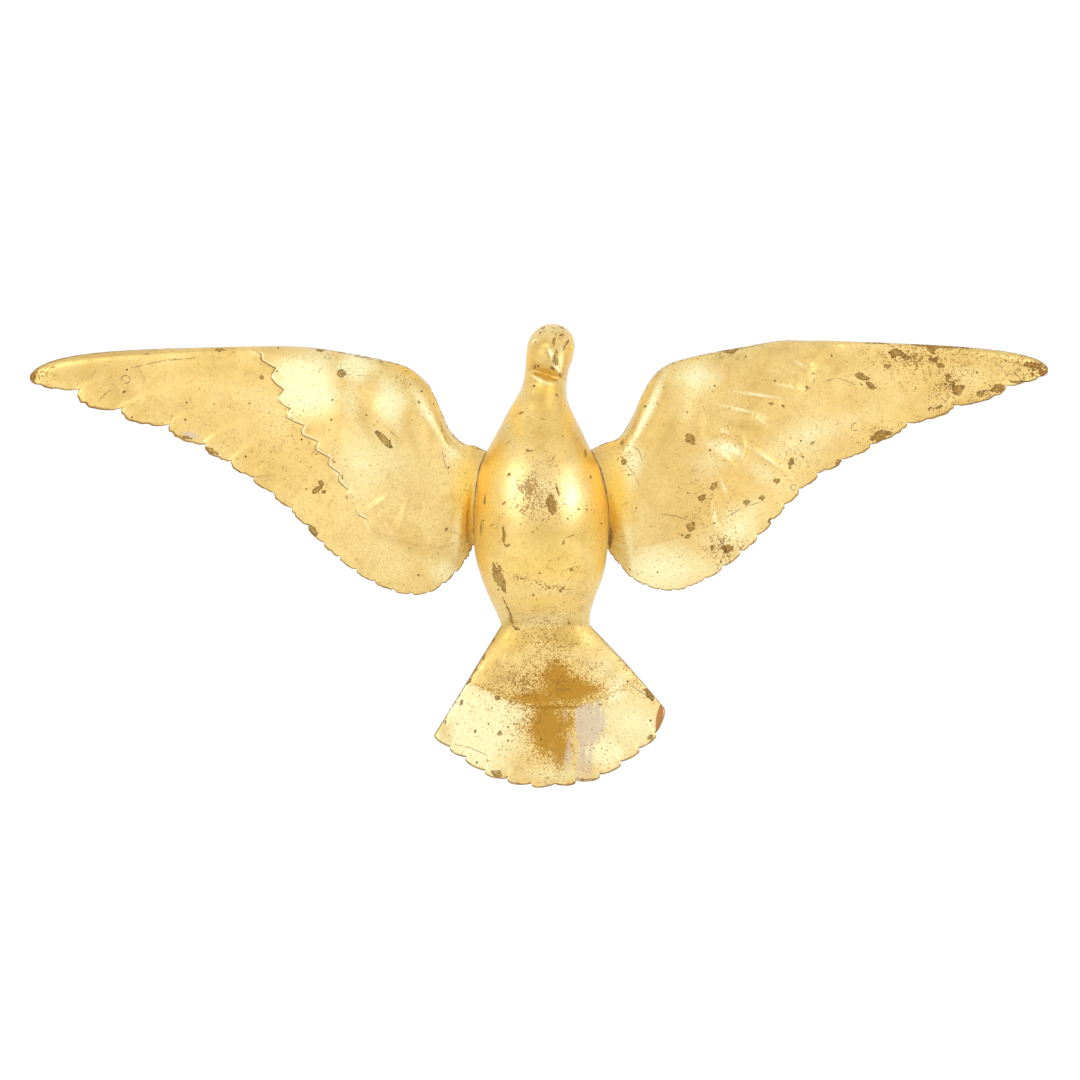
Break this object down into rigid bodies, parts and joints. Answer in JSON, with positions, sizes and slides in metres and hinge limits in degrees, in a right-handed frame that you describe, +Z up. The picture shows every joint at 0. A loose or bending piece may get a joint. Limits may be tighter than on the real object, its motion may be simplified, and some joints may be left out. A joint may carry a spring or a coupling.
{
  "type": "carved dove",
  "caption": "Gilded carved wooden dove with spread wings, fanned tail and bent head, made to hang with its back flat against a wall or panel.",
  "frame": {"origin": "middle of the flat seat on the back of the body, where the dove meets the wall", "axes": "+X to the viewer's right along the spread wings, +Y out of the back into the wall, +Z up towards the head"},
  "size_m": [0.9185, 0.1101, 0.4169],
  "materials": {
    "gilt_wood": "old water gilding over gesso on carved wood, soft sheen, with rubbed spots, brown losses and wormholes"
  },
  "bodies": {
    "root": {"body": "gilt_wood", "left_wing": "gilt_wood", "right_wing": "gilt_wood"}
  },
  "joints": []
}
